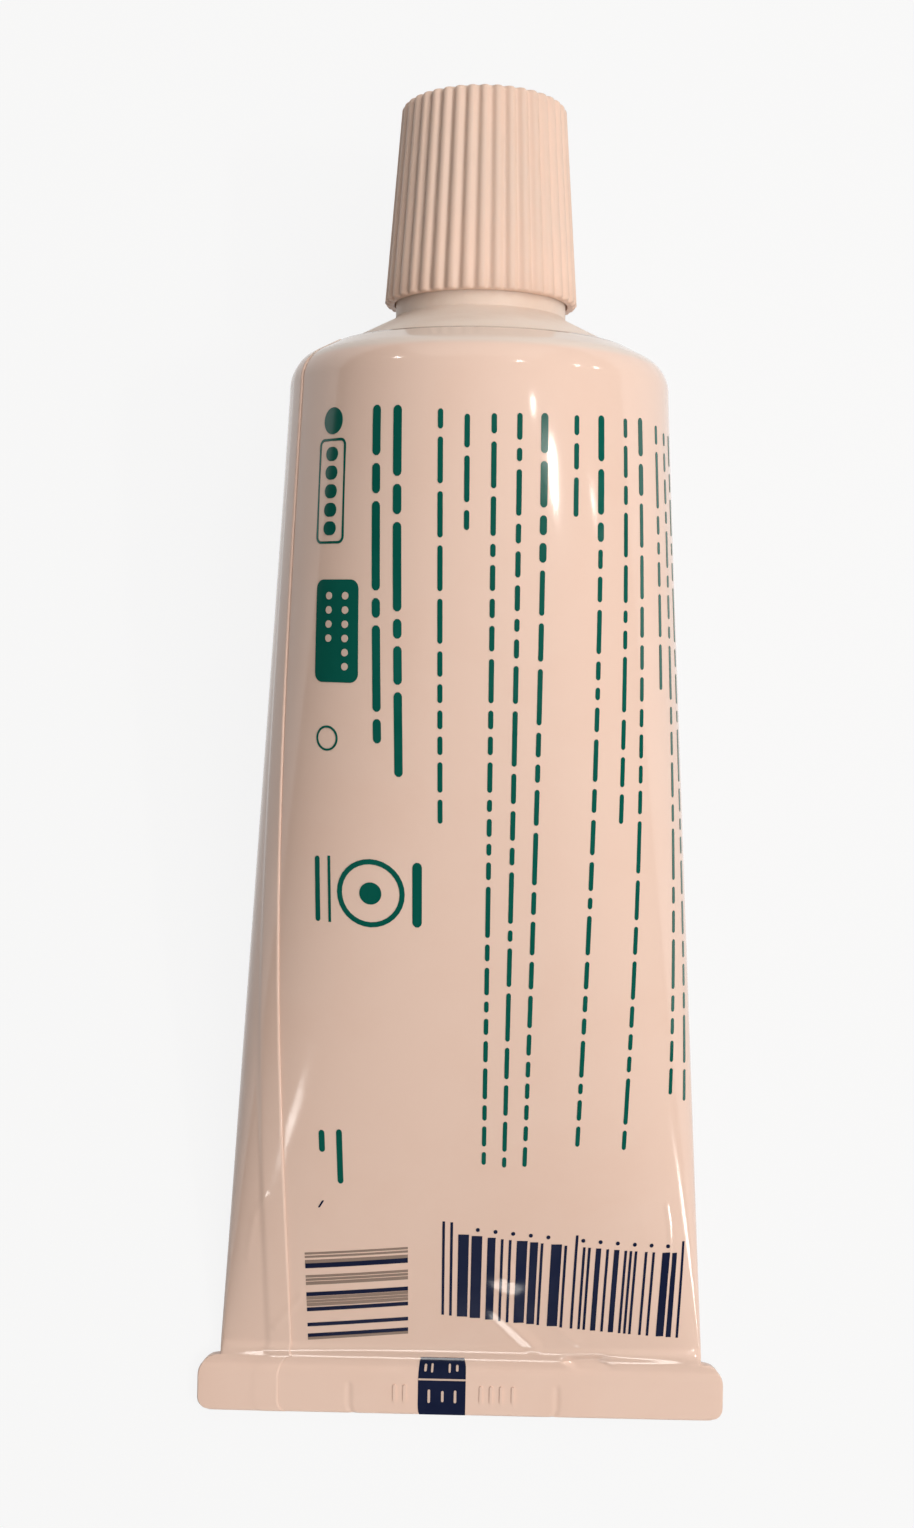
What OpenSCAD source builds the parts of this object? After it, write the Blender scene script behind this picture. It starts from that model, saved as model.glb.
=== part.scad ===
// Squeeze tube of toothpaste with a fluted screw cap, lying on its front.
// +Y runs from the welded tail to the cap, +Z is up, and the back of the print faces up.
// The sleeve is a laminate cylinder that is welded flat at the tail, so its sections keep
// nearly the same girth from the round shoulder to the straight weld.

/* [Sleeve] */
// Outside diameter of the laminate sleeve at the shoulder
tube_d = 40; // [32:1:50]
// Length from the tail's edge to the start of the rounded shoulder edge
sleeve_l = 117; // [95:1:160]
// Thickness of the laminate
laminate_t = 0.35; // [0.25:0.05:0.5]
// Height of the filled tube just above the tail weld
tail_h = 3.5; // [2.5:0.5:7]
// How evenly the tube thins from the shoulder to the tail, 1 for a straight wedge
thin_power = 1.35; // [1.1:0.05:1.8]
// How evenly the tube widens from the shoulder to the tail, 1 for straight sides
widen_power = 1.14; // [1:0.02:1.4]
// Depth pressed flat where the full tube lies on its front
rest_flat = 0.25; // [0.1:0.05:0.6]
// Depth pressed flat at the shoulder, which is stiff
edge_flat = 0.05; // [0.02:0.01:0.1]
// How far the head leans up from the table, in degrees
head_tilt = 7; // [4:0.5:9]

/* [Tail weld] */
// Height of the welded tail band
weld_h = 6.7; // [5:0.1:10]
// Thickness of the welded tail band
weld_t = 0.8; // [0.6:0.1:1.2]
// How far each ear of the weld stands out past the filled body
ear_w = 2.75; // [1:0.25:4]
// Corner radius of the ears on the side of the body
ear_top_r = 2.7; // [1:0.1:3]
// Corner radius of the ears at the tail's edge
ear_end_r = 1.4; // [0.5:0.1:2.5]
// Distance over which the filled body pinches down into the weld
pinch_l = 2; // [1:0.25:4]
// Distance of the jaw's step line from the upper edge of the weld
jaw_line = 0.9; // [0.5:0.1:2]
// Distances of the two score marks from the tube's middle
score_x = [-13.3, 11.3];
// Length of the score marks from the tail's edge
score_l = 3.7; // [2:0.1:5]
// Depth of the pressed lines in the weld
press_depth = 0.12; // [0.05:0.01:0.2]
// Width of the pressed lines in the weld
press_w = 0.35; // [0.2:0.05:0.6]

/* [Lap seam] */
// Distance of the seam's middle from the back's middle line, round the girth
seam_s = 23; // [15:1:28]
// Width of the overlap
seam_w = 2.6; // [2:0.2:4]
// How far the overlap stands proud of the sleeve
seam_t = 0.15; // [0.05:0.05:0.3]

/* [Shoulder] */
// Radius of the rounded shoulder edge
shoulder_r = 3.7; // [2.5:0.1:5]
// Slope of the shoulder cone from the plane across the axis, in degrees
cone_slope = 27; // [15:1:35]
// Diameter of the circle where the sleeve's end stops on the cone
lip_d = 31.6; // [26:0.2:34]
// Wall of the head moulding
head_t = 1.4; // [1:0.1:2]
// Depth of the moulding's skirt inside the sleeve
skirt_l = 1; // [0.5:0.25:3]
// Diameter of the collar under the cap
collar_d = 17.9; // [16.5:0.1:19]
// Height of the collar that shows under the cap
collar_show = 1.6; // [0.8:0.1:4]
// Height of the collar that stands inside the cap
collar_in = 0.8; // [0.4:0.1:1.5]

/* [Nozzle] */
// Diameter of the nozzle neck over its thread
neck_d = 13; // [11:0.1:13.6]
// Height of the nozzle's mouth above the cap's rim
mouth_h = 13.5; // [11:0.5:15]
// Diameter of the orifice
orifice_d = 8; // [4:0.5:9]
// Rounding of the mouth's outer edge
mouth_r = 0.5; // [0.2:0.1:0.8]
// Empty height left between the paste and the seal
head_space = 1; // [0.5:0.5:4]

/* [Foil seal] */
// Thickness of the peel-off foil
foil_t = 0.15; // [0.1:0.05:0.3]
// Width of the foil's edge left bare on the mouth
foil_edge = 0.6; // [0.5:0.1:1]
// Length of the folded pull tab
tab_l = 5; // [3:0.5:5.5]
// Width of the folded pull tab
tab_w = 3.4; // [2:0.2:3.8]

/* [Cap] */
// Height of the cap
cap_h = 19.8; // [18:0.2:28]
// Diameter of the cap over its ribs at the rim
cap_rim_d = 20.3; // [19.8:0.1:23]
// Diameter of the cap over its ribs at the top
cap_top_d = 17.1; // [16:0.1:19.5]
// Number of flutes
flutes = 40; // [24:1:48]
// Radius of the cutter that makes a flute
flute_r = 0.46; // [0.4:0.02:0.6]
// Depth of a flute
flute_depth = 0.36; // [0.2:0.02:0.4]
// Wall of the cap's skirt
skirt_t = 1; // [0.8:0.05:1.1]
// Thickness of the cap's top plate
plate_t = 1.3; // [1:0.1:2]
// Rounding of the cap's top edge
cap_edge_r = 0.6; // [0.3:0.1:1]
// Bevel of the cap's rim
rim_bevel = 0.25; // [0.1:0.05:0.4]
// Wall of the inner barrel that takes the neck
barrel_t = 0.9; // [0.7:0.1:1.1]
// Height of the barrel's end above the cap's rim
barrel_from = 3; // [2:0.5:5]
// Running gap between the neck and the barrel
neck_gap = 0.2; // [0.15:0.05:0.3]
// Narrowest width of the hollow between barrel and skirt
pocket_min = 0.6; // [0.4:0.1:0.8]
// Width of the ring that presses on the seal
seal_ring_w = 1; // [0.8:0.1:1.2]
// Gap between that ring and the foil
seal_gap = 0.15; // [0.1:0.05:0.3]

/* [Hidden] */
$fn = 96;

stations = 96;     // points round each section of the sleeve
body_rings = 24;   // sections along the filled body
edge_rings = 5;    // sections round the shoulder edge
trace = 180;       // steps used to measure the girth of a section
over = 1;          // how far a cutting tool runs past what it cuts
flat_power = 6;    // how soon behind the shoulder the pressed flat reaches its depth
shape_top = 0.6;   // extra squareness of the upper half of a section at the tail
shape_under = 1.6; // extra squareness of the lower half of a section at the tail
pinch_share = 0.62; // share of tail_h left halfway down the pinch
core_share = 0.8;   // share of the weld's thickness that the filled body enters with
ring_inset = 0.1;   // how far the seal ring stays inside the foil's edge
flute_start = 0.5;  // place of the first flute, in flute pitches

tube_r = tube_d / 2;
weld_w = PI * tube_r;
tail_w = weld_w - 2 * ear_w;
body_l = sleeve_l - weld_h - pinch_l;
weld_z = tail_h / 2 - rest_flat;

head_z = tube_r * cos(head_tilt) - edge_flat;

// The head's axis starts at the middle of the round end of the sleeve and leans up.
// Distances along it are called a, and radii r.
edge_c = tube_r - shoulder_r;
edge_end_r = edge_c + shoulder_r * sin(cone_slope);
edge_end_a = shoulder_r * cos(cone_slope);
function cone_a(r, inset) =
    edge_end_a + (edge_end_r - r) * tan(cone_slope) - inset / cos(cone_slope);

lip_r = lip_d / 2;
wall_half = head_t / 2;
collar_r = collar_d / 2;
collar_foot = cone_a(collar_r, laminate_t);
rim_a = collar_foot + collar_show;
collar_top = rim_a + collar_in;
neck_r = neck_d / 2;
orifice_r = orifice_d / 2;
mouth_a = rim_a + mouth_h;
foil_r = neck_r - foil_edge;

cap_rim_r = cap_rim_d / 2;
cap_top_r = cap_top_d / 2;
taper = atan((cap_rim_r - cap_top_r) / cap_h);
function cap_out(a) = cap_rim_r + (cap_top_r - cap_rim_r) * a / cap_h;
function cap_in(a) = cap_out(a) - skirt_t;
bore_r = neck_r + neck_gap;
barrel_r = bore_r + barrel_t;
pocket_top = min(cap_h - plate_t,
    (cap_rim_r - skirt_t - barrel_r - pocket_min) / tan(taper));
ring_out_r = foil_r - ring_inset;
ring_in_r = ring_out_r - seal_ring_w;
ring_foot = mouth_h + 2 * foil_t + seal_gap;

// The tail's edge is laid at y = 0 first, and the finished tube is then centred.
top_edge_r = cap_top_r - cap_edge_r;
reach = sleeve_l + cap_edge_r + (rim_a + cap_h - cap_edge_r) * cos(head_tilt)
    + top_edge_r * sin(head_tilt);

module centred() translate([0, -reach / 2, 0]) children();

// Puts what is modelled along +Z on the head's leaning axis.
module on_head()
    centred()
        translate([0, sleeve_l, head_z])
            rotate([head_tilt - 90, 0, 0]) children();

// A solid turned on the head's axis. Its starting line lies between two stations of the sleeve.
module turned(half_section)
    on_head() rotate([0, 0, 180 / stations]) rotate_extrude() polygon(half_section);

function arc(cx, cy, r, from, to, n) =
    [for (i = [0 : n]) let (angle = from + (to - from) * i / n) [cx + r * cos(angle), cy + r * sin(angle)]];

// One section of the sleeve: halves of superellipses with their own squareness.
function power(v, e) = sign(v) * pow(abs(v), e);
function section_point(w, h, t, angle) =
    let (square = 2 + (sin(angle) > 0 ? shape_top : shape_under) * t)
    [w / 2 * power(cos(angle), 2 / square), h / 2 * power(sin(angle), 2 / square)];

// Girth measured round a section from the middle of its upper side: [length, angle] pairs.
function girth(w, h, t) =
    [for (i = 0, len = 0; i <= trace;
          i = i + 1,
          len = len + norm(section_point(w, h, t, 90 + i * 360 / trace)
                           - section_point(w, h, t, 90 + (i - 1) * 360 / trace)))
        [len, 90 + i * 360 / trace]];

// Points spaced evenly round the girth, so that each line of points follows the laminate.
function section(w, h, t) =
    let (table = girth(w, h, t), whole = table[trace][0])
    [for (i = [0 : stations - 1])
        let (s = whole * i / stations,
             p = section_point(w, h, t, lookup(s, table)),
             proud = abs(s * weld_w * 2 / whole - seam_s) < seam_w / 2 ? seam_t : 0)
        p * (1 + proud / norm(p))];

// A section as points in space. lean is its tilt about X, and z its middle's height.
function placed(points, y, z, lean) =
    [for (p = points) [p[0], y - sin(lean) * p[1], z + cos(lean) * p[1]]];

function width_at(t) = tube_d + (tail_w - tube_d) * pow(t, widen_power);
function height_at(t) = tube_d - (tube_d - tail_h) * pow(t, thin_power);
function sink_at(t) = rest_flat - (rest_flat - edge_flat) * pow(1 - t, flat_power);
function body_ring(t) =
    let (lean = head_tilt * (1 - t), h = height_at(t))
    placed(section(width_at(t), h, t), sleeve_l - t * body_l,
           h / 2 * cos(lean) - sink_at(t), lean);

// Rings past the sleeve's round end lie across the head's axis.
function head_ring(r, a) =
    placed(section(2 * r, 2 * r, 0), sleeve_l + a * cos(head_tilt),
           head_z + a * sin(head_tilt), head_tilt);
edge_arc = arc(edge_c, 0, shoulder_r, 90 - cone_slope, 0, edge_rings);

function pinch_ring(y, h) = placed(section(tail_w, h, 1), y, weld_z, 0);

function side_faces(rings, n) =
    [for (k = [0 : rings - 2], i = [0 : n - 1])
        let (a = k * n + i, b = k * n + (i + 1) % n)
        each [[a, a + n, b], [b, a + n, b + n]]];

module sleeve_loft() {
    rings = [
        head_ring(lip_r - wall_half, cone_a(lip_r - wall_half, 0)),
        for (i = [0 : edge_rings - 1]) head_ring(edge_arc[i][0], edge_arc[i][1]),
        for (i = [0 : body_rings]) body_ring(i / body_rings),
        pinch_ring(weld_h + pinch_l / 2, pinch_share * tail_h),
        pinch_ring(weld_h - jaw_line / 2, core_share * weld_t)
    ];
    count = len(rings);
    polyhedron(
        points = [for (ring = rings) each ring],
        faces = [
            [for (i = [0 : stations - 1]) i],
            each side_faces(count, stations),
            [for (i = [stations - 1 : -1 : 0]) (count - 1) * stations + i]
        ]);
}

module weld_outline() {
    upper = weld_h - ear_top_r;
    side = weld_w / 2;
    square_from = side - max(ear_top_r, ear_end_r);
    translate([-square_from, 0]) square([2 * square_from, weld_h]);
    translate([-side, ear_end_r]) square([weld_w, upper - ear_end_r]);
    for (x = [-1, 1]) {
        translate([x * (side - ear_top_r), upper]) circle(ear_top_r);
        translate([x * (side - ear_end_r), ear_end_r]) circle(ear_end_r);
        translate([x > 0 ? 0 : -side + ear_end_r, 0]) square([side - ear_end_r, upper]);
    }
}

module pressed_line(x, y, size_x, size_y)
    for (z = [weld_z + weld_t / 2 - press_depth, weld_z - weld_t / 2 - over])
        translate([x - size_x / 2, y, z]) cube([size_x, size_y, press_depth + over]);

module weld() {
    difference() {
        translate([0, 0, weld_z - weld_t / 2]) linear_extrude(weld_t) weld_outline();
        pressed_line(0, weld_h - jaw_line - press_w, weld_w + over, press_w);
        for (x = score_x) pressed_line(x, -over, press_w, score_l + over);
    }
}

// Head moulding: half of its section as [r, a] points.
head_outer = tube_r - laminate_t;
head_inner = head_outer - head_t;
collar_in_r = collar_r - head_t;
head_section = concat(
    [[head_inner, -skirt_l], [head_outer, -skirt_l]],
    arc(edge_c, 0, shoulder_r - laminate_t, 0, 90 - cone_slope, 8),
    [[collar_r, collar_foot], [collar_r, collar_top - rim_bevel],
     [collar_r - rim_bevel, collar_top], [neck_r, collar_top]],
    arc(neck_r - mouth_r, mouth_a - mouth_r, mouth_r, 0, 90, 4),
    [[orifice_r, mouth_a], [orifice_r, collar_top - head_t],
     [collar_in_r, collar_top - head_t],
     [collar_in_r, cone_a(collar_in_r, laminate_t + head_t)]],
    arc(edge_c, 0, shoulder_r - laminate_t - head_t, 90 - cone_slope, 0, 8));

// The paste fills the head up to the seal. It runs into the moulding's wall here,
// and the moulding is then cut out of it.
paste_section = [
    [0, -skirt_l], [edge_c, -skirt_l],
    [edge_c, cone_a(edge_c, laminate_t + wall_half)],
    [collar_in_r + wall_half, cone_a(collar_in_r + wall_half, laminate_t + wall_half)],
    [collar_in_r + wall_half, collar_top - wall_half],
    [orifice_r + wall_half, collar_top - wall_half],
    [orifice_r + wall_half, mouth_a - head_space],
    [0, mouth_a - head_space]
];

// What is cut away above the cone, inside the sleeve's cut end.
lip_section = [
    [collar_in_r + wall_half, cone_a(collar_in_r + wall_half, laminate_t)],
    [lip_r, cone_a(lip_r, laminate_t)],
    [lip_r, mouth_a], [collar_in_r + wall_half, mouth_a]
];

module sleeve() {
    table = 2 * reach;
    color([0.89, 0.78, 0.71])
    difference() {
        union() {
            intersection() {
                centred() sleeve_loft();
                translate([-table / 2, -table / 2, 0]) cube(table);
            }
            turned(paste_section);
            centred() weld();
        }
        turned(head_section);
        turned(lip_section);
    }
}

module shoulder() {
    color([0.82, 0.74, 0.69])
    turned(head_section);
}

module foil_seal() {
    color("silver")
    on_head() translate([0, 0, mouth_a]) {
        cylinder(h = foil_t, r = foil_r);
        translate([-tab_w / 2, -tab_l / 2, 0]) cube([tab_w, tab_l, 2 * foil_t]);
    }
}

module cap_blank() {
    difference() {
        polygon(concat(
            [[0, 0], [cap_rim_r - rim_bevel, 0], [cap_out(rim_bevel), rim_bevel]],
            arc(cap_out(cap_h - cap_edge_r) - cap_edge_r, cap_h - cap_edge_r, cap_edge_r, 0, 90, 6),
            [[0, cap_h]]));
        translate([0, -over]) square([bore_r, cap_h - plate_t + over]);
        translate([0, -over]) square([barrel_r, barrel_from + over]);
        polygon([[bore_r, -over], [cap_in(-over), -over],
                 [cap_in(barrel_from), barrel_from], [bore_r, barrel_from]]);
        polygon([[barrel_r, 0], [cap_in(0), 0], [cap_in(pocket_top), pocket_top],
                 [barrel_r, pocket_top]]);
    }
    translate([ring_in_r, ring_foot]) square([seal_ring_w, cap_h - plate_t / 2 - ring_foot]);
}

module cap() {
    cutter_l = cap_h / cos(taper) + 2 * over;
    shrink = cap_top_r / cap_rim_r;
    color([0.91, 0.81, 0.74])
    on_head() translate([0, 0, rim_a])
    difference() {
        rotate_extrude() cap_blank();
        for (i = [0 : flutes - 1])
            rotate([0, 0, (i + flute_start) * 360 / flutes])
                translate([cap_rim_r + flute_r - flute_depth, 0, 0])
                    rotate([0, -taper, 0])
                        translate([0, 0, -over])
                            cylinder(h = cutter_l, r1 = flute_r, r2 = flute_r * shrink, $fn = 24);
    }
}

sleeve();
shoulder();
foil_seal();
cap();
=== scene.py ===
import functools
import math
import random

import bmesh
import bpy
import numpy as np
from mathutils import Matrix, Vector


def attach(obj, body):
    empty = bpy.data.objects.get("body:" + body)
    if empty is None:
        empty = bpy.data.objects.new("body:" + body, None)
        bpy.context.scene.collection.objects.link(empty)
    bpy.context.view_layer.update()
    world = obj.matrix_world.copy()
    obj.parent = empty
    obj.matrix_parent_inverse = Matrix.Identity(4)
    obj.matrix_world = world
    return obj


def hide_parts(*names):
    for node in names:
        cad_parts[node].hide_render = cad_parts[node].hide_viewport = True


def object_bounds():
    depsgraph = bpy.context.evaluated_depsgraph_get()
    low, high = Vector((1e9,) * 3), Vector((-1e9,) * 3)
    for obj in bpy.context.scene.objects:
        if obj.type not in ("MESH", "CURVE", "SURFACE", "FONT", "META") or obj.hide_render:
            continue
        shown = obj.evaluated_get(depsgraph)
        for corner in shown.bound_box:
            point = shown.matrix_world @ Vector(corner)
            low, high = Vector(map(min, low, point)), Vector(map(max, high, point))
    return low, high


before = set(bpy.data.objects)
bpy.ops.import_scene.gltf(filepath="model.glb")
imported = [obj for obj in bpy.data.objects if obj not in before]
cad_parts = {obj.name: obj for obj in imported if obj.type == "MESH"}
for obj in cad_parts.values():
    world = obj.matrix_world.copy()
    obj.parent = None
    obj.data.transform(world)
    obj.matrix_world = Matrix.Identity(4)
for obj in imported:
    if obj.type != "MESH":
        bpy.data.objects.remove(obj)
cad_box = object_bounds()

# Sizes are in millimetres and in the frame's axes. finished() turns each piece into metres.
MM = 0.001
FRAME_LENGTH = (cad_box[1].y - cad_box[0].y) / MM

# Sleeve
TUBE_D = 40.0
SLEEVE_L = 117.0
FILM_T = 0.35
TAIL_H = 3.5
THIN_POWER = 1.35
WIDEN_POWER = 1.14
REST_FLAT = 0.25
EDGE_FLAT = 0.05
FLAT_POWER = 6.0
HEAD_TILT = math.radians(7.0)
SHAPE_TOP = 0.6
SHAPE_UNDER = 1.6
SECTION_STEPS = 720

# Tail weld
WELD_H = 6.7
WELD_T = 0.8
WELD_SQUARENESS = 14.0
EAR_W = 2.75
EAR_TOP_R = 2.7
EAR_END_R = 1.4
PINCH_L = 2.0
JAW_LINE = 0.9
SCORE_X = (-13.3, 11.3)
SCORE_L = 3.7
PRESS_W = 0.35
PRESS_DEPTH = 0.12

# Lap seam, placed round the girth from the middle of the back towards -X. The weld presses it
# down to a share of its height.
SEAM_S = 23.0
SEAM_W = 2.6
SEAM_T = 0.15
SEAM_EASE = 0.8
SEAM_WELDED = 0.35

# Painted shade on the end of the film, a greyer white for the darker reflection on the roll, from
# the round end's plane along the head's axis
END_SHADE_FROM = 2.1
END_SHADE_BLEND = 0.7

# Shoulder and nozzle
SHOULDER_R = 3.7
CONE_SLOPE = math.radians(27.0)
LIP_R = 15.8
HEAD_T = 1.4
SKIRT_L = 1.0
COLLAR_R = 8.95
COLLAR_SHOW = 1.6
COLLAR_IN = 0.8
NECK_R = 6.5
NECK_CORE_R = 5.95
MOUTH_H = 13.5
ORIFICE_R = 4.0
ORIFICE_BEVEL = 0.2
MOUTH_EDGE_R = 0.5
FOOT_R = 0.4
HEAD_STEPS = 128

# Thread, the same on the neck and in the cap
THREAD_PITCH = 2.6
THREAD_TURNS = 1.75
THREAD_FOOT = 1.15
THREAD_CREST = 0.45
THREAD_FROM = 4.6
THREAD_SINK = 0.15
THREAD_RUN_OUT = 0.15
THREAD_STEPS = 72
THREAD_PLAY = 0.15

# Foil seal
FOIL_R = 5.9
FOIL_T = 0.15
FOIL_EDGE_T = 0.09
TAB_L = 5.0
TAB_W = 3.4
TAB_CORNER_R = 0.8

# Cap
CAP_H = 19.8
CAP_RIM_R = 10.15
CAP_TOP_R = 8.55
FLUTES = 40
FLUTE_DEPTH = 0.36
FLUTE_NARROWNESS = 1.5
STEPS_PER_FLUTE = 10
FLUTE_FADE = 0.5
SKIRT_T = 1.0
SKIRT_STEPS = 8
PLATE_T = 1.3
CAP_EDGE_R = 0.6
CAP_EDGE_FROM = 15
CAP_SHARP = 50
RIM_BEVEL = 0.25
BORE_R = 6.7
BARREL_T = 0.9
BARREL_FROM = 3.0
BARREL_BEVEL = 0.3
SEAL_RING = (4.8, 5.8)
SEAL_RING_FOOT = 13.95
POCKET_MIN = 0.6
TOP_DISH = 0.2
DISH_RIM = 0.5
DISH_R = 3.0
GATE_R = 0.9
GATE_FOOT_R = 0.72
GATE_DEPTH = 0.25

# Creases in the film as (height, half width, places), with places (s, p) on the film
CREASES = [(0.17, 1.2, ((-4.0, 14.3), (-9.3, 9.0))),
           (0.31, 2.2, ((-4.9, 19.0), (-6.3, 18.4))),
           (0.09, 0.45, ((-24.8, 28.1), (-25.4, 25.5), (-25.8, 22.1), (-26.2, 18.9))),
           (0.05, 0.4, ((-21.3, 29.0), (-22.3, 23.8))),
           (0.13, 0.65, ((20.0, 15.4), (23.7, 10.9))),
           (0.05, 0.6, ((24.2, 28.2), (25.8, 25.5), (27.0, 19.9))),
           (0.08, 0.8, ((-12.8, 11.1), (-14.9, 9.5))),
           (0.08, 0.7, ((-19.4, 8.5), (-19.1, 8.0))),
           (-0.5, 1.2, ((-14.0, 6.7), (-17.5, 7.0)))]
CREASES_TO = 31.0

# Print, in places on the film: s round the girth and p along the tube. Lines of text are
# (s, from p, to p), and a fourth value says down to where the line is bold.
TEXT_BAR = 0.5
BOLD_BAR = 0.7
LETTER_PITCH = 0.62
WORD_GAP = 0.75
WORD_LETTERS = [2, 3, 3, 4, 4, 5, 6, 7, 9]
TEXT_LINES = [(-26.0, 112.5, 40.0, None), (-23.6, 112.5, 40.0, None), (-21.2, 113.0, 86.5, None),
              (-17.9, 113.4, 35.4, 108.0), (-15.5, 113.1, 71.3, None), (-12.3, 113.1, 35.0, 101.5),
              (-9.5, 112.9, 102.8, None), (-6.2, 112.9, 32.0, 100.0), (-3.8, 112.8, 33.3, None),
              (-1.4, 112.7, 33.6, None), (1.1, 112.6, 100.4, None), (3.6, 113.1, 72.6, None)]
NOTICE_BAR = 0.85
NOTICE_PITCH = 0.95
NOTICE_LINES = [(7.8, 113.5, 75.9), (10.0, 113.6, 80.8)]
LINE_DRIFT = 0.011
PRINT_TOP = 113.0

# Marks. Each starts with its middle (s, p), and its sizes follow: width or diameter, length,
# corner radius and stroke, as far as it has them, and in TARGET its dot's diameter. Rows of dots
# are (s, p, count, step, width, length), and plain lines (s, from p, to p, width).
DISC = (15.4, 112.4, 2.6)
PILL = (15.4, 105.6, 3.7, 10.2, 0.7, 0.25)
PILL_WORD = (15.4, 109.2, 5, 1.8, 1.65, 1.35)
BADGE = (14.3, 91.9, 5.2, 10.2, 0.9)
BADGE_WORDS = [(13.2, 95.4, 6, 1.4, 0.75, 0.75), (15.2, 95.4, 4, 1.4, 0.75, 0.75)]
SMALL_RING = (15.3, 81.1, 2.6, 0.22)
TARGET = (10.5, 65.0, 7.4, 0.55, 2.4)
TARGET_LINE = (15.1, 65.2, 0.3, 7.2)
PLAIN_LINES = [(5.5, 68.5, 61.5, 1.0), (16.5, 68.7, 61.6, 0.55),
               (14.7, 37.4, 30.6, 0.7), (16.8, 37.2, 34.5, 0.7)]

# Bar code
BARS_FROM = 2.5
BARS_TO = -28.3
BARS_TOP = 24.6
BARS_BOTTOM = 13.3
BARS_SLOPE = 0.1
GUARD_MORE = 1.5
GUARDS = (2.5, -12.6, -26.9)
GUARD_MODULES = 4
MODULE = 0.325
BAR_MODULES = [1, 1, 1, 2, 3, 4]
GAP_MODULES = [1, 1, 2, 3]
DIGIT_MARK = 0.5
DIGIT_STEP = 2.15
DIGIT_RISE = 0.9
DIGIT_FREE = 1.3

# Stripe block, with its stripes as (p, width)
DARK_STRIPES = [(20.1, 0.65), (16.2, 0.52), (14.1, 0.5), (11.95, 0.48), (10.45, 0.46)]
GREY_STRIPES = [(21.75, 0.26), (21.3, 0.26), (20.65, 0.42), (18.65, 0.3), (18.2, 0.3), (17.7, 0.42),
                (15.65, 0.4), (15.2, 0.3), (14.75, 0.42), (10.0, 0.36)]
STRIPE_S = 13.1
STRIPE_W = 12.8
STRIPE_SLOPE = -0.105

# Speck and marks on the weld as (s, p, width, length), and the speck's lean. The embossed
# strokes share all but s.
SPECK = (17.2, 27.8, 0.25, 0.95, -0.6)
WELD_MARK = (2.3, 3.5, 5.6, 7.0)
WELD_MARK_BARS = [(4.3, 5.6, 0.3, 0.9), (3.5, 5.6, 0.25, 1.1), (1.4, 5.6, 0.25, 1.1),
                  (0.5, 5.6, 0.3, 0.8), (3.8, 2.2, 0.3, 1.6), (2.2, 2.2, 0.3, 1.3),
                  (0.7, 2.2, 0.3, 1.5)]
WELD_MARK_LINE = (2.3, 4.2, 5.6, 0.2)
EMBOSSED_S = (7.9, 6.7, -2.3, -3.5, -4.7, -6.1)
EMBOSSED = (2.5, 0.35, 2.0)
EMBOSSED_RISE = 0.15

# Layers of print and how finely they are cut up to follow the film
INK_T = 0.05
CELL = 0.8
BAR_CELL = 2.0
BAR_END_STEPS = 3
BAR_TIP = 0.04
PRINT_SEED = 7

# Stage, with the floor and the lamps in metres, the camera's place in millimetres and its turns
# in radians
IMAGE_H = 1528
SENSOR_W = 36
CAMERA_FOCAL_PX = 1417.1
CAMERA_AT = (-0.40, 4.54, 170.93)
CAMERA_TURN = (0.001, -0.008, -0.019)
FLOOR_HALF = 5.0
FLOOR_GAP = 0.00002
FLOOR_WHITE = 0.88
FLOOR_GREY = (190, 189, 188)
WORLD_COLOUR = (1.0, 1.0, 1.0, 1.0)
WORLD_STRENGTH = 0.02
WARM = (1.0, 0.97, 0.93)

# Lamps as (name, direction, distance, size, power). The one in UNMIRRORED stands for the room's
# light, which the film doesn't mirror as one bright field. The glints are small lamps of one kind.
LAMPS = [("key", (0.61, -0.05, 0.79), 0.60, (0.06, 0.025), 0.6),
         ("high_right", (0.36, 0.05, 0.93), 0.55, (0.80, 0.50), 2.8),
         ("cap_end", (0.0, 0.85, 0.50), 0.90, (1.00, 0.80), 1.7),
         ("low_strip", (0.0, -0.985, 0.17), 1.0, (1.0, 0.08), 1.8),
         ("star", (0.47, 0.07, 0.88), 0.60, (0.02, 0.02), 0.06),
         ("right_gloss", (0.87, 0.0, 0.49), 0.60, (0.02, 0.02), 0.035),
         ("right_fold", (0.77, -0.62, 0.14), 0.60, (0.05, 0.05), 0.12),
         ("left_fold", (-0.53, -0.73, 0.44), 0.60, (0.03, 0.03), 0.03)]
UNMIRRORED = ("high_right",)
GLINT = (0.60, (0.03, 0.03), 0.1)
GLINTS = [(-0.62, 0.55, 0.55), (0.34, 0.40, 0.85), (0.76, 0.41, 0.50), (0.86, 0.40, 0.32)]

# Worked out from the sizes above
TUBE_R = TUBE_D / 2
GIRTH = math.pi * TUBE_D
WELD_W = GIRTH / 2
TAIL_W = WELD_W - 2 * EAR_W
BODY_FROM = WELD_H + PINCH_L
BODY_L = SLEEVE_L - BODY_FROM
PINCH_FROM = WELD_H - JAW_LINE
WELD_Z = TAIL_H / 2 - REST_FLAT
HEAD_Z = TUBE_R * math.cos(HEAD_TILT) - EDGE_FLAT
EDGE_C = TUBE_R - SHOULDER_R
EDGE_END_R = EDGE_C + SHOULDER_R * math.sin(CONE_SLOPE)
EDGE_END_A = SHOULDER_R * math.cos(CONE_SLOPE)
EDGE_ARC_L = SHOULDER_R * (math.pi / 2 - CONE_SLOPE)
FILM_L = SLEEVE_L + EDGE_ARC_L + (EDGE_END_R - LIP_R) / math.cos(CONE_SLOPE)
SEAM_FROM = SEAM_S - SEAM_W / 2
TAPER = (CAP_RIM_R - CAP_TOP_R) / CAP_H


def cone_a(r, inset):
    """Height over the round end's plane of the cone at radius r, inset from the sleeve's outside."""
    return EDGE_END_A + (EDGE_END_R - r) * math.tan(CONE_SLOPE) - inset / math.cos(CONE_SLOPE)


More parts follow.
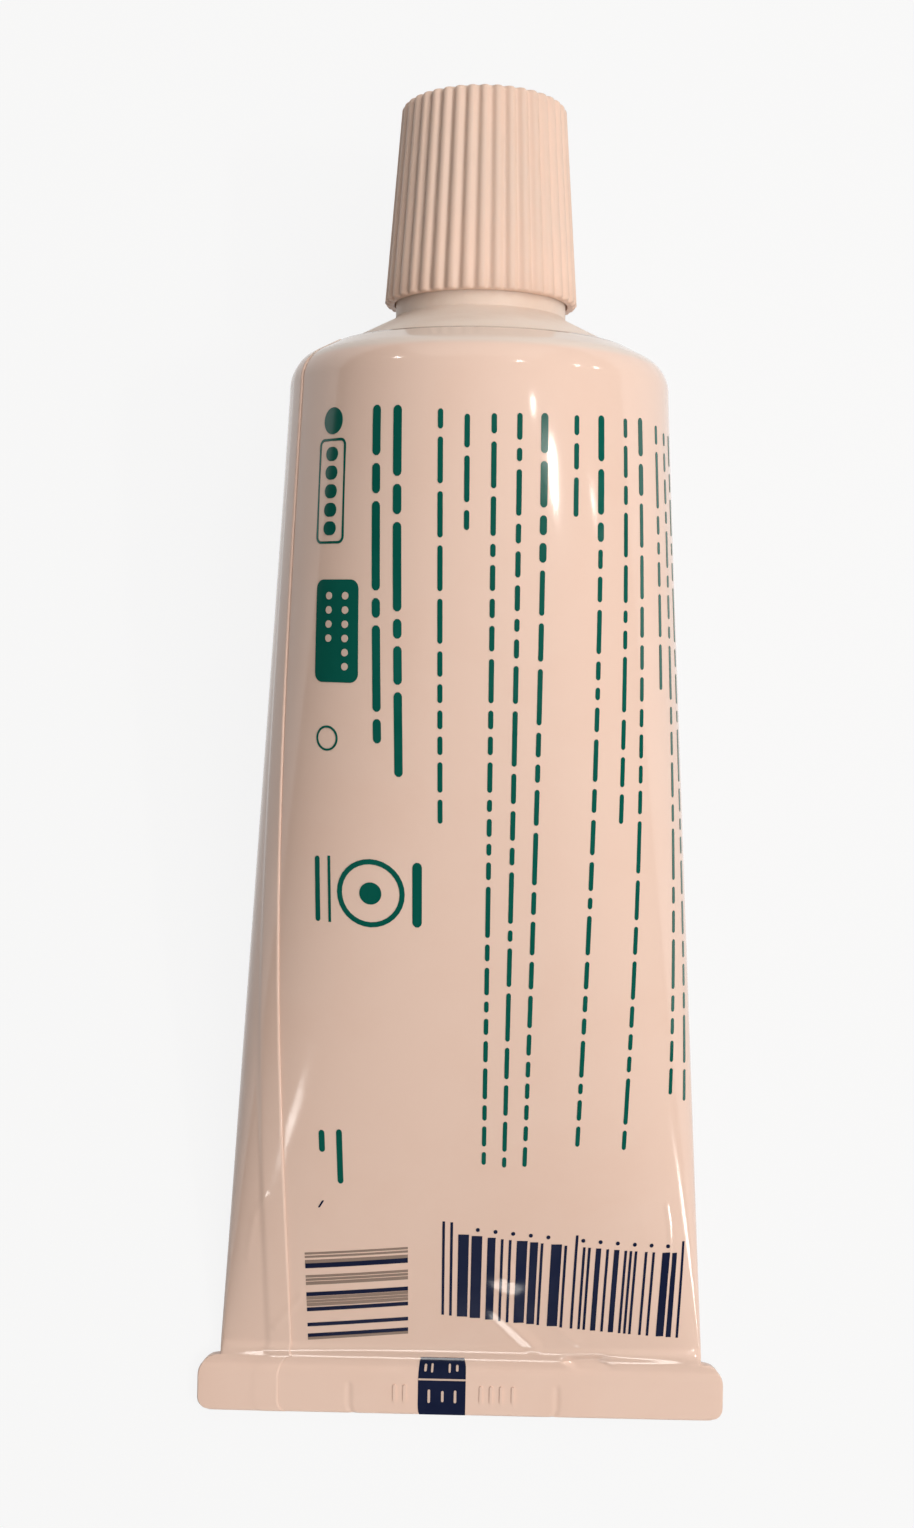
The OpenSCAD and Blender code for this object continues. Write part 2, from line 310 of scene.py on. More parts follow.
COLLAR_FOOT = cone_a(COLLAR_R, FILM_T)
RIM_A = COLLAR_FOOT + COLLAR_SHOW
COLLAR_TOP = RIM_A + COLLAR_IN
MOUTH_A = RIM_A + MOUTH_H

# The head's axis starts in the middle of the sleeve's round end and leans up.
HEAD = (Matrix.Translation((0, SLEEVE_L - FRAME_LENGTH / 2, HEAD_Z))
        @ Matrix.Rotation(HEAD_TILT - math.pi / 2, 4, "X"))
HEAD_AXIS = HEAD.to_3x3() @ Vector((0, 0, 1))
CAP_SEAT = HEAD @ Matrix.Translation((0, 0, RIM_A))


def ease(x):
    """Smooth step from 0 at x = 0 to 1 at x = 1."""
    x = min(max(x, 0.0), 1.0)
    return x * x * (3 - 2 * x)


# Form of the film
# A place on it is (s, p): s runs round the girth from the middle of the back towards -X,
# and p runs from the tail's edge over the body and the shoulder edge to the film's cut end.

def body_height(t):
    """Height of the full body at the share t of its length, from the round end to the tail."""
    return TUBE_D - (TUBE_D - TAIL_H) * t ** THIN_POWER


def pinch_height(p):
    """Thickness of the tail from the weld to the filled body, on one smooth curve."""
    x = min(max((p - PINCH_FROM) / (BODY_FROM - PINCH_FROM), 0.0), 1.0)
    slope = (TUBE_D - TAIL_H) * THIN_POWER / BODY_L * (BODY_FROM - PINCH_FROM)
    return WELD_T + (TAIL_H - WELD_T) * ease(x) + slope * x * x * (x - 1)


def tail_half_width(p):
    """Half width of the weld with its ears, rounded at both corners."""
    side = WELD_W / 2
    if p < EAR_END_R:
        return side - EAR_END_R + math.sqrt(max(EAR_END_R ** 2 - (EAR_END_R - p) ** 2, 0))
    rise = p - (WELD_H - EAR_TOP_R)
    if rise <= 0:
        return side
    if rise >= EAR_TOP_R:
        return TAIL_W / 2
    round_side = side - EAR_TOP_R + math.sqrt(EAR_TOP_R ** 2 - rise ** 2)
    return max(round_side, TAIL_W / 2)


def station(p):
    """Section of the film at p: width, height, squareness above and below, y, z and lean."""
    if p > SLEEVE_L:
        turn = min((p - SLEEVE_L) / SHOULDER_R, math.pi / 2 - CONE_SLOPE)
        down = max(p - SLEEVE_L - EDGE_ARC_L, 0)
        r = EDGE_C + SHOULDER_R * math.cos(turn) - down * math.cos(CONE_SLOPE)
        a = SHOULDER_R * math.sin(turn) + down * math.sin(CONE_SLOPE)
        return (2 * r, 2 * r, 2, 2, SLEEVE_L + a * math.cos(HEAD_TILT),
                HEAD_Z + a * math.sin(HEAD_TILT), HEAD_TILT)
    if p < BODY_FROM:
        flatness = ease((BODY_FROM - p) / (BODY_FROM - PINCH_FROM))
        above = 2 + SHAPE_TOP + (WELD_SQUARENESS - 2 - SHAPE_TOP) * flatness
        under = 2 + SHAPE_UNDER + (WELD_SQUARENESS - 2 - SHAPE_UNDER) * flatness
        return 2 * tail_half_width(p), pinch_height(p), above, under, p, WELD_Z, 0
    t = (SLEEVE_L - p) / BODY_L
    lean = HEAD_TILT * (1 - t)
    width = TUBE_D + (TAIL_W - TUBE_D) * t ** WIDEN_POWER
    height = body_height(t)
    sink = REST_FLAT - (REST_FLAT - EDGE_FLAT) * (1 - t) ** FLAT_POWER
    return (width, height, 2 + SHAPE_TOP * t, 2 + SHAPE_UNDER * t, p,
            height / 2 * math.cos(lean) - sink, lean)


@functools.lru_cache(maxsize=None)
def section(p):
    """Points and outward normals round one section, with their distance along the film."""
    width, height, above, under, y, z, lean = station(p)
    angle = np.radians(90 + np.linspace(0, 360, SECTION_STEPS + 1))
    square = np.where(np.sin(angle) > 0, above, under)
    across = width / 2 * np.sign(np.cos(angle)) * np.abs(np.cos(angle)) ** (2 / square)
    up = height / 2 * np.sign(np.sin(angle)) * np.abs(np.sin(angle)) ** (2 / square)
    step = np.hypot(np.diff(across), np.diff(up))
    length = np.concatenate([[0], np.cumsum(step)])
    to_x, to_up = np.gradient(across), np.gradient(up)
    size = np.maximum(np.hypot(to_x, to_up), 1e-9)
    return length / length[-1] * GIRTH, across, up, to_up / size, -to_x / size, y, z, lean


def seam_rise(p, s):
    """How far the film stands off its plain form at the lap seam. The flap that starts at
    SEAM_FROM lies on top, and the film's other end runs in under it. The weld presses both
    down to the share SEAM_WELDED."""
    u = s - SEAM_FROM
    free = ease((p - PINCH_FROM) / (BODY_FROM - PINCH_FROM))
    share = SEAM_WELDED + (1 - SEAM_WELDED) * free
    if u <= GIRTH:
        return share * SEAM_T * ease((SEAM_W + SEAM_EASE - u) / SEAM_EASE)
    return -share * (FILM_T - SEAM_T) * ease((u - GIRTH) / SEAM_EASE)


def pressed(p, s):
    """Depth of the jaw's line and of the two score marks on the weld."""
    across = s - GIRTH * round(s / GIRTH)
    if abs(across) > WELD_W / 2:
        across = (WELD_W - abs(across)) * math.copysign(1, across)
    line = math.exp(-((p - WELD_H + JAW_LINE + PRESS_W / 2) / PRESS_W) ** 2)
    marks = 0
    for x in SCORE_X:
        marks += math.exp(-((across + x) / PRESS_W) ** 2) * ease((SCORE_L - p) / PRESS_W)
    return PRESS_DEPTH * min(line + marks, 1) if p < WELD_H else 0


def from_line(x, y, places):
    """Distance of (x, y) from a line through places."""
    nearest = math.inf
    for (x0, y0), (x1, y1) in zip(places, places[1:]):
        along = ((x - x0) * (x1 - x0) + (y - y0) * (y1 - y0)) / ((x1 - x0) ** 2 + (y1 - y0) ** 2)
        along = min(max(along, 0.0), 1.0)
        nearest = min(nearest, math.hypot(x - x0 - along * (x1 - x0), y - y0 - along * (y1 - y0)))
    return nearest


def creased(p, s):
    """How far the film stands off its plain form at the creases near the tail. Each is a
    ridge or, with a height below 0, a dent with straight flanks."""
    across = s - GIRTH * round(s / GIRTH)
    if p > CREASES_TO or abs(across) > WELD_W / 2:
        return 0
    return sum(height * max(0.0, 1 - from_line(across, p, places) / width)
               for height, width, places in CREASES)


def film_point(s, p, lift=0.0):
    """Point of the film's outside in millimetres, lifted by lift along its normal."""
    length, across, up, out_x, out_up, y, z, lean = section(round(p, 3))
    at = s % GIRTH
    out = Vector((np.interp(at, length, out_x), np.interp(at, length, out_up)))
    rise = seam_rise(p, s) - pressed(p, s) + creased(p, s) + lift
    x = np.interp(at, length, across) + out.x * rise
    v = np.interp(at, length, up) + out.y * rise
    return Vector((x, y - math.sin(lean) * v - FRAME_LENGTH / 2,
                   max(z + math.cos(lean) * v, 0.0)))


# Making pieces

def in_scene(name, data):
    """A new object of the scene that holds data."""
    piece = bpy.data.objects.new(name, data)
    bpy.context.scene.collection.objects.link(piece)
    return piece


def finished(bm, name, material, body, place=Matrix.Identity(4), sharp=35):
    """A bmesh in millimetres becomes a piece in metres that rides on a body. Its edges look
    round up to a turn of sharp degrees."""
    bmesh.ops.transform(bm, matrix=Matrix.Scale(MM, 4) @ place, verts=bm.verts)
    mesh = bpy.data.meshes.new(name)
    bm.to_mesh(mesh)
    bm.free()
    mesh.shade_smooth()
    mesh.set_sharp_from_angle(angle=math.radians(sharp))
    mesh.materials.append(material)
    piece = in_scene(name, mesh)
    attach(piece, body)
    return piece


def arc(centre_r, centre_a, radius, start, end, steps):
    """Points (r, a) along an arc, with its angles in degrees from the direction of r."""
    return [(centre_r + radius * math.cos(math.radians(start + (end - start) * i / steps)),
             centre_a + radius * math.sin(math.radians(start + (end - start) * i / steps)))
            for i in range(steps + 1)]


def turned(half_section, steps):
    """A closed form turned about Z from half of its section, given as (r, a) points."""
    bm = bmesh.new()
    line = [bm.verts.new((r, 0, a)) for r, a in half_section]
    edges = [bm.edges.new(pair) for pair in zip(line, line[1:])]
    if half_section[0][0] > 0:
        edges.append(bm.edges.new((line[-1], line[0])))
    bmesh.ops.spin(bm, geom=line + edges, cent=(0, 0, 0), axis=(0, 0, 1),
                   angle=2 * math.pi, steps=steps, use_merge=True)
    bmesh.ops.remove_doubles(bm, verts=bm.verts, dist=1e-4)
    bmesh.ops.recalc_face_normals(bm, faces=bm.faces)
    return bm


def add_thread(bm, base_r, crest_r, from_a):
    """A thread's ridge, wound round base_r and run out at both ends."""
    foot_r = base_r + math.copysign(THREAD_SINK, base_r - crest_r)
    profile = [(foot_r, -THREAD_FOOT / 2), (crest_r, -THREAD_CREST / 2),
               (crest_r, THREAD_CREST / 2), (foot_r, THREAD_FOOT / 2)]
    old = set(bm.verts)
    start = [bm.verts.new((r, 0, from_a + a)) for r, a in profile]
    edges = [bm.edges.new((start[i - 1], start[i])) for i in range(4)]
    steps = round(THREAD_STEPS * THREAD_TURNS)
    bmesh.ops.spin(bm, geom=start + edges, cent=(0, 0, 0), axis=(0, 0, 1),
                   dvec=(0, 0, THREAD_PITCH * THREAD_TURNS / steps),
                   angle=2 * math.pi * THREAD_TURNS, steps=steps)
    bmesh.ops.holes_fill(bm, edges=[e for e in bm.edges if e.is_boundary], sides=4)
    for v in bm.verts:
        if v in old:
            continue
        turn = (v.co.z - from_a) / THREAD_PITCH
        share = ease(min(turn, THREAD_TURNS - turn) / THREAD_RUN_OUT + 0.5)
        r = math.hypot(v.co.x, v.co.y)
        scale = (foot_r + (r - foot_r) * share) / r
        v.co.x *= scale
        v.co.y *= scale
    bmesh.ops.recalc_face_normals(bm, faces=bm.faces)


# Materials

def linear(red, green, blue):
    """A colour given as it looks on screen, from 0 to 255, in the shader's own values."""
    return tuple(((c / 255 + 0.055) / 1.055) ** 2.4 for c in (red, green, blue)) + (1.0,)


def make_group(name, inputs, outputs):
    """An empty shader node group with named number sockets, and its input and output nodes."""
    group = bpy.data.node_groups.new(name, "ShaderNodeTree")
    for socket, value in inputs:
        made = group.interface.new_socket(socket, in_out="INPUT", socket_type="NodeSocketFloat")
        made.default_value = value
    for socket in outputs:
        group.interface.new_socket(socket, in_out="OUTPUT", socket_type="NodeSocketFloat")
    return group, group.nodes.new("NodeGroupInput"), group.nodes.new("NodeGroupOutput")


def fine_grain_group():
    """The faint unevenness of a rolled film or a moulded surface, as a height."""
    group, given, made = make_group("fine_grain", [("Waves", 300.0), ("Grain", 4000.0),
                                                   ("Grain Share", 0.2)], ["Height"])
    nodes, links = group.nodes, group.links
    place = nodes.new("ShaderNodeTexCoord")
    waves = nodes.new("ShaderNodeTexNoise")
    waves.inputs["Detail"].default_value = 2.0
    grain = nodes.new("ShaderNodeTexNoise")
    grain.inputs["Detail"].default_value = 3.0
    mix = nodes.new("ShaderNodeMix")
    links.new(place.outputs["Object"], waves.inputs["Vector"])
    links.new(place.outputs["Object"], grain.inputs["Vector"])
    links.new(given.outputs["Waves"], waves.inputs["Scale"])
    links.new(given.outputs["Grain"], grain.inputs["Scale"])
    links.new(given.outputs["Grain Share"], mix.inputs["Factor"])
    links.new(waves.outputs["Fac"], mix.inputs["A"])
    links.new(grain.outputs["Fac"], mix.inputs["B"])
    links.new(mix.outputs["Result"], made.inputs["Height"])
    return group


def handling_group():
    """Where hands have dulled a surface, from 0 to 1."""
    group, given, made = make_group("handling", [("Size", 60.0), ("Least", 0.45),
                                                 ("Most", 0.75)], ["Mask"])
    nodes, links = group.nodes, group.links
    place = nodes.new("ShaderNodeTexCoord")
    smears = nodes.new("ShaderNodeTexNoise")
    smears.inputs["Detail"].default_value = 6.0
    smears.inputs["Roughness"].default_value = 0.6
    smears.inputs["Distortion"].default_value = 0.4
    limits = nodes.new("ShaderNodeMapRange")
    links.new(place.outputs["Object"], smears.inputs["Vector"])
    links.new(given.outputs["Size"], smears.inputs["Scale"])
    links.new(smears.outputs["Fac"], limits.inputs["Value"])
    links.new(given.outputs["Least"], limits.inputs["From Min"])
    links.new(given.outputs["Most"], limits.inputs["From Max"])
    links.new(limits.outputs["Result"], made.inputs["Mask"])
    return group


FINE_GRAIN = fine_grain_group()
HANDLING = handling_group()


def finish_material(name, base, tint, roughness, dulled, waves, grain, grain_share, relief):
    """A surface whose colour drifts from base to tint and whose gloss is dulled by handling.
    relief is the height of its waves and grain in millimetres."""
    material = bpy.data.materials.new(name)
    material.use_nodes = True
    nodes, links = material.node_tree.nodes, material.node_tree.links
    shader = nodes["Principled BSDF"]
    handled = nodes.new("ShaderNodeGroup")
    handled.node_tree = HANDLING
    colour = nodes.new("ShaderNodeMix")
    colour.data_type = "RGBA"
    colour.inputs["A"].default_value = linear(*base)
    colour.inputs["B"].default_value = linear(*tint)
    links.new(handled.outputs["Mask"], colour.inputs["Factor"])
    links.new(colour.outputs["Result"], shader.inputs["Base Color"])
    gloss = nodes.new("ShaderNodeMapRange")
    gloss.inputs["To Min"].default_value = roughness
    gloss.inputs["To Max"].default_value = dulled
    links.new(handled.outputs["Mask"], gloss.inputs["Value"])
    links.new(gloss.outputs["Result"], shader.inputs["Roughness"])
    surface = nodes.new("ShaderNodeGroup")
    surface.node_tree = FINE_GRAIN
    surface.inputs["Waves"].default_value = waves
    surface.inputs["Grain"].default_value = grain
    surface.inputs["Grain Share"].default_value = grain_share
    bump = nodes.new("ShaderNodeBump")
    bump.inputs["Strength"].default_value = 1.0
    bump.inputs["Distance"].default_value = relief * MM
    links.new(surface.outputs["Height"], bump.inputs["Height"])
    links.new(bump.outputs["Normal"], shader.inputs["Normal"])
    return material


LAMINATE_WHITE = (238, 208, 192)
LAMINATE_TINT = (236, 204, 187)
# Painted shade: the greyer white of the film's end, for the darker reflection on the roll
END_SHADE_WHITE = (232, 214, 202)
GREEN_INK = (6, 88, 76)
NAVY_INK = (24, 31, 58)
GREY_INK = (150, 130, 118)
LIGHT_INK = (214, 190, 176)
INK_DRIFT = 10
HEAD_WHITE = (238, 222, 210)
HEAD_TINT = (220, 196, 180)
CAP_WHITE = (230, 202, 185)
CAP_TINT = (234, 202, 184)
FOIL_WHITE = (225, 226, 228)
FOIL_TINT = (208, 209, 213)
FILM_RELIEF = {"waves": 420, "grain": 2600, "grain_share": 0.12, "relief": 0.008}
CAP_RELIEF = {"waves": 900, "grain": 5200, "grain_share": 0.5, "relief": 0.02}
HEAD_RELIEF = {"waves": 700, "grain": 4200, "grain_share": 0.5, "relief": 0.02}
FOIL_RELIEF = {"waves": 2600, "grain": 9000, "grain_share": 0.3, "relief": 0.05}


def laminate():
    """Glossy printed film. Where it turns in over the shoulder, its white goes greyer: painted shade
    for the darker reflection on the roll.
    """
    material = finish_material("laminate", LAMINATE_WHITE, LAMINATE_TINT,
                               roughness=0.09, dulled=0.15, **FILM_RELIEF)
    nodes, links = material.node_tree.nodes, material.node_tree.links
    shader = nodes["Principled BSDF"]
    plain_colour = shader.inputs["Base Color"].links[0].from_socket
    place = nodes.new("ShaderNodeTexCoord")
    along = nodes.new("ShaderNodeVectorMath")
    along.operation = "DOT_PRODUCT"
    along.inputs[1].default_value = HEAD_AXIS
    # Painted shade on the film's end, where the roll mirrors darker surroundings
    turned_in = nodes.new("ShaderNodeMapRange")
    turned_in.interpolation_type = "SMOOTHSTEP"
    start = HEAD.translation.dot(HEAD_AXIS)
    turned_in.inputs["From Min"].default_value = (start + END_SHADE_FROM) * MM
    turned_in.inputs["From Max"].default_value = (start + END_SHADE_FROM + END_SHADE_BLEND) * MM
    end_shade = nodes.new("ShaderNodeMix")
    end_shade.data_type = "RGBA"
    end_shade.inputs["B"].default_value = linear(*END_SHADE_WHITE)
    links.new(place.outputs["Object"], along.inputs[0])
    links.new(along.outputs["Value"], turned_in.inputs["Value"])
    links.new(turned_in.outputs["Result"], end_shade.inputs["Factor"])
    links.new(plain_colour, end_shade.inputs["A"])
    links.new(end_shade.outputs["Result"], shader.inputs["Base Color"])
    return material


def ink(name, colour):
    """Print under the film's varnish, nearly as glossy as the film."""
    lighter = tuple(channel + INK_DRIFT for channel in colour)
    return finish_material(name, colour, lighter, roughness=0.13, dulled=0.2, **FILM_RELIEF)


def let_light_in(material, share, colour, depth):
    """A share of the light goes into the plastic, to about depth millimetres."""
    shader = material.node_tree.nodes["Principled BSDF"]
    shader.inputs["Subsurface Weight"].default_value = share
    shader.inputs["Subsurface Radius"].default_value = colour
    shader.inputs["Subsurface Scale"].default_value = depth * MM


def cap_plastic():
    """Satin moulded cap, a little light going into it."""
    material = finish_material("cap_plastic", CAP_WHITE, CAP_TINT,
                               roughness=0.42, dulled=0.5, **CAP_RELIEF)
    let_light_in(material, share=0.08, colour=(1.0, 0.8, 0.6), depth=0.6)
    return material


def head_plastic():
    """Natural head moulding, duller and greyer than the film."""
    material = finish_material("head_plastic", HEAD_WHITE, HEAD_TINT,
                               roughness=0.45, dulled=0.55, **HEAD_RELIEF)
    let_light_in(material, share=0.2, colour=(1.0, 0.85, 0.7), depth=0.8)
    return material


def foil():
    """Bright embossed sealing foil."""
    material = finish_material("foil", FOIL_WHITE, FOIL_TINT,
                               roughness=0.24, dulled=0.34, **FOIL_RELIEF)
    material.node_tree.nodes["Principled BSDF"].inputs["Metallic"].default_value = 1.0
    return material


# Sleeve

def spread(bands):
    """Places along bands of (start, end, spacing), one after another."""
    places = [bands[0][0]]
    for start, end, spacing in bands:
        steps = max(1, round((end - start) / spacing))
        places += [start + (end - start) * (i + 1) / steps for i in range(steps)]
    return places


# The film's rows along the tube and columns round it lie closer where it is pressed, creased or
# folded.
LEFT_FOLD = GIRTH / 4
RIGHT_FOLD = GIRTH * 3 / 4
FOLD_HALF = 2.0
RIGHT_MARK = GIRTH - SCORE_X[1]
LEFT_MARK = GIRTH - SCORE_X[0]
MARK_HALF = 0.8
PRESSED_ROWS = (5.2, 7.0)
FINE_ROWS = (10, 30, 40)
END_ROWS = SLEEVE_L - 2
RIGHT_CREASES = (GIRTH - 27.2, GIRTH - 24.2)
MIDDLE_CREASES_TO = GIRTH - 2.5
LEFT_CREASES = (18.5, 28)
ROWS = spread([(0, EAR_END_R, 0.2), (EAR_END_R, PRESSED_ROWS[0], 0.4), (*PRESSED_ROWS, 0.15),
               (PRESSED_ROWS[1], FINE_ROWS[0], 0.25), (FINE_ROWS[0], FINE_ROWS[1], 0.35),
               (FINE_ROWS[1], FINE_ROWS[2], 0.8), (FINE_ROWS[2], END_ROWS, 2.0),
               (END_ROWS, SLEEVE_L, 0.5), (SLEEVE_L, SLEEVE_L + EDGE_ARC_L, 0.3),
               (SLEEVE_L + EDGE_ARC_L, FILM_L, 0.4)])
COLUMNS = spread([(SEAM_FROM, LEFT_CREASES[1], 0.3),
                  (LEFT_CREASES[1], LEFT_FOLD - FOLD_HALF, 0.6),
                  (LEFT_FOLD - FOLD_HALF, LEFT_FOLD + FOLD_HALF, 0.25),
                  (LEFT_FOLD + FOLD_HALF, RIGHT_FOLD - FOLD_HALF, 1.5),
                  (RIGHT_FOLD - FOLD_HALF, RIGHT_FOLD + FOLD_HALF, 0.25),
                  (RIGHT_FOLD + FOLD_HALF, RIGHT_CREASES[0], 0.4), (*RIGHT_CREASES, 0.12),
                  (RIGHT_CREASES[1], RIGHT_MARK - MARK_HALF, 0.45),
                  (RIGHT_MARK - MARK_HALF, RIGHT_MARK + MARK_HALF, 0.16),
                  (RIGHT_MARK + MARK_HALF, MIDDLE_CREASES_TO, 0.27),
                  (MIDDLE_CREASES_TO, LEFT_MARK - MARK_HALF, 0.55),
                  (LEFT_MARK - MARK_HALF, LEFT_MARK + MARK_HALF, 0.16),
                  (LEFT_MARK + MARK_HALF, GIRTH + LEFT_CREASES[0], 0.5),
                  (GIRTH + LEFT_CREASES[0], SEAM_FROM + GIRTH + SEAM_W, 0.27)])


def sleeve(material):
    """The laminate as one sheet, rolled up with its lap seam and welded flat at the tail."""
    bm = bmesh.new()
    across, along = len(COLUMNS) - 1, len(ROWS) - 1
    bmesh.ops.create_grid(bm, x_segments=across, y_segments=along, size=0.5)
    for v in bm.verts:
        column = round((v.co.x + 0.5) * across)
        row = round((v.co.y + 0.5) * along)
        v.co = film_point(COLUMNS[column], ROWS[row])
    bmesh.ops.reverse_faces(bm, faces=bm.faces)
    piece = finished(bm, "laminate_sleeve", material, "tube")
    wall = piece.modifiers.new("film", "SOLIDIFY")
    wall.thickness = FILM_T * MM
    wall.offset = -1
    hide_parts("sleeve")


# Head, foil and cap

def head(material):
    """The head moulding: skirt, shoulder, collar and threaded nozzle."""
    outer = TUBE_R - FILM_T
    collar_in_r = COLLAR_R - HEAD_T
    slope = math.degrees(CONE_SLOPE)
    section_line = (
        [(outer - HEAD_T, -SKIRT_L), (outer, -SKIRT_L)]
        + arc(EDGE_C, 0, SHOULDER_R - FILM_T, 0, 90 - slope, steps=10)
        + [(COLLAR_R + FOOT_R, cone_a(COLLAR_R + FOOT_R, FILM_T)),
           (COLLAR_R, COLLAR_FOOT + FOOT_R / 2),
           (COLLAR_R, COLLAR_TOP - RIM_BEVEL), (COLLAR_R - RIM_BEVEL, COLLAR_TOP),
           (NECK_CORE_R, COLLAR_TOP)]
        + arc(NECK_CORE_R - MOUTH_EDGE_R, MOUTH_A - MOUTH_EDGE_R, MOUTH_EDGE_R, 0, 90, steps=5)
        + [(ORIFICE_R + ORIFICE_BEVEL, MOUTH_A), (ORIFICE_R, MOUTH_A - ORIFICE_BEVEL),
           (ORIFICE_R, COLLAR_TOP - HEAD_T), (collar_in_r, COLLAR_TOP - HEAD_T),
           (collar_in_r, cone_a(collar_in_r, FILM_T + HEAD_T))]
        + arc(EDGE_C, 0, SHOULDER_R - FILM_T - HEAD_T, 90 - slope, 0, steps=8))
    bm = turned(section_line, HEAD_STEPS)
    add_thread(bm, NECK_CORE_R, NECK_R, RIM_A + THREAD_FROM)
    piece = finished(bm, "head_moulding", material, "tube", HEAD)
    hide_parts("shoulder")


def foil_seal(material):
    """Peel-off foil on the nozzle's mouth, with its pull tab folded over it."""
    bm = turned([(0, 0), (FOIL_R, 0), (FOIL_R, FOIL_EDGE_T), (0, FOIL_T)], HEAD_STEPS)
    tab = bmesh.ops.create_cube(bm, size=1)["verts"]
    bmesh.ops.scale(bm, vec=(TAB_W, TAB_L, FOIL_T), verts=tab)
    bmesh.ops.translate(bm, vec=(0, 0, FOIL_T * 1.5), verts=tab)
    upright = {e for v in tab for e in v.link_edges
               if abs(e.verts[0].co.z - e.verts[1].co.z) > FOIL_T / 2}
    bmesh.ops.bevel(bm, geom=list(upright), offset=TAB_CORNER_R, offset_type="OFFSET",
                    segments=5, profile=0.5, affect="EDGES", material=-1)
    piece = finished(bm, "seal_foil", material, "tube",
                     HEAD @ Matrix.Translation((0, 0, MOUTH_A)))
    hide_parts("foil_seal")


def flute(angle):
    """Depth of the fluting at an angle, from 0 on a rib to 1 in the middle of a flute."""
    phase = angle * FLUTES / (2 * math.pi)
    from_flute = abs(phase - math.floor(phase) - 0.5) * 2
    return (0.5 + 0.5 * math.cos(math.pi * from_flute)) ** FLUTE_NARROWNESS


def cap_out(a):
    """Radius of the cap over its ribs at height a over its rim."""
    return CAP_RIM_R - TAPER * a


def cap(material):
    """The fluted screw cap with its inner barrel, thread and seal ring."""
    ceiling = CAP_H - PLATE_T
    ring_in, ring_out = SEAL_RING
    barrel_r = BORE_R + BARREL_T
    pocket_top = min(ceiling, (CAP_RIM_R - SKIRT_T - barrel_r - POCKET_MIN) / TAPER)
    edge_a = CAP_H - CAP_EDGE_R
    edge_r = cap_out(edge_a) - CAP_EDGE_R
    dish_a = CAP_H - TOP_DISH
    heights = [RIM_BEVEL + (edge_a - RIM_BEVEL) * i / SKIRT_STEPS for i in range(SKIRT_STEPS + 1)]
    section_line = (
        [(0, ceiling), (ring_in, ceiling), (ring_in, SEAL_RING_FOOT), (ring_out, SEAL_RING_FOOT),
         (ring_out, ceiling), (BORE_R, ceiling), (BORE_R, BARREL_FROM + BARREL_BEVEL),
         (BORE_R + BARREL_BEVEL, BARREL_FROM), (barrel_r, BARREL_FROM), (barrel_r, pocket_top),
         (cap_out(pocket_top) - SKIRT_T, pocket_top), (cap_out(0) - SKIRT_T, 0),
         (CAP_RIM_R - RIM_BEVEL, 0)]
        + [(cap_out(a), a) for a in heights]
        + arc(edge_r, edge_a, CAP_EDGE_R, CAP_EDGE_FROM, 90, steps=6)
        + [(edge_r - DISH_RIM, CAP_H), (DISH_R, dish_a), (GATE_R, dish_a),
           (GATE_FOOT_R, dish_a - GATE_DEPTH), (0, dish_a - GATE_DEPTH)])
    bm = turned(section_line, FLUTES * STEPS_PER_FLUTE)
    for v in bm.verts:
        r = math.hypot(v.co.x, v.co.y)
        on_skin = ease((r - cap_out(v.co.z) + CAP_EDGE_R) / FLUTE_FADE + 0.5)
        if on_skin > 0:
            deep = FLUTE_DEPTH * flute(math.atan2(v.co.y, v.co.x)) * on_skin
            v.co.x *= (r - deep) / r
            v.co.y *= (r - deep) / r
    add_thread(bm, BORE_R, NECK_CORE_R + THREAD_PLAY, THREAD_FROM + THREAD_PITCH / 2)
    piece = finished(bm, "screw_cap", material, "cap", CAP_SEAT, CAP_SHARP)
    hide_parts("cap")


# Print
# Each ink's artwork is laid out flat, in s and p, and then wrapped onto the film.

def add_box(bm, s, p, width, length, radius=0.0, cell=CELL, slope=0.0, lean=0.0):
    """A filled rectangle of the artwork round (s, p), with round corners, in cells of about the
    size cell. slope turns its sides along s, and lean its sides along p."""
    columns = max(1, math.ceil(width / cell))
    rows = max(1, math.ceil(length / (cell if radius else cell * 2)))
    verts = bmesh.ops.create_grid(bm, x_segments=columns, y_segments=rows, size=0.5)["verts"]
    for v in verts:
        x, y = v.co.x * width, v.co.y * length
        over_x, over_y = abs(x) - (width / 2 - radius), abs(y) - (length / 2 - radius)
        if radius and over_x > 0 and over_y > 0:
            pull = max(over_x, over_y) / math.hypot(over_x, over_y)
            x = math.copysign(width / 2 - radius + over_x * pull, x)
            y = math.copysign(length / 2 - radius + over_y * pull, y)
        v.co = Vector((s + x + y * lean, p + y + x * slope, 0))


def add_bar(bm, s, p, width, length, drift=0.0):
    """A bar of the artwork with round ends, round (s, p). drift turns it along s."""
    round_r = width / 2
    end = [round_r * (1 - math.cos(math.pi / 2 * i / BAR_END_STEPS))
           for i in range(BAR_END_STEPS + 1)]
    middle = max(1, math.ceil((length - width) / BAR_CELL))
    along = end[:-1] + [round_r + (length - width) * i / middle for i in range(middle + 1)]
    along += [length - d for d in end[-2::-1]]
    rows = len(along) - 1
    verts = bmesh.ops.create_grid(bm, x_segments=1, y_segments=rows, size=0.5)["verts"]
    for v in verts:
        y = along[round((v.co.y + 0.5) * rows)]
        depth = min(y, length - y, round_r)
        half = math.sqrt(round_r ** 2 - (round_r - max(depth, BAR_TIP * round_r)) ** 2)
        y -= length / 2
        v.co = Vector((s + math.copysign(half, v.co.x) + y * drift, p + y, 0))


def add_disc(bm, s, p, size, cell):
    """A filled disc of the artwork."""
    add_box(bm, s, p, size, size, size / 2, cell)


def outline(width, length, radius, steps=8):
    """Points round a rectangle with round corners."""
    points = []
    for turn, (side_x, side_y) in enumerate([(1, 1), (-1, 1), (-1, -1), (1, -1)]):
        for i in range(steps + 1):
            angle = math.pi / 2 * (turn + i / steps)
            points.append((side_x * (width / 2 - radius) + radius * math.cos(angle),
                           side_y * (length / 2 - radius) + radius * math.sin(angle)))
    return points


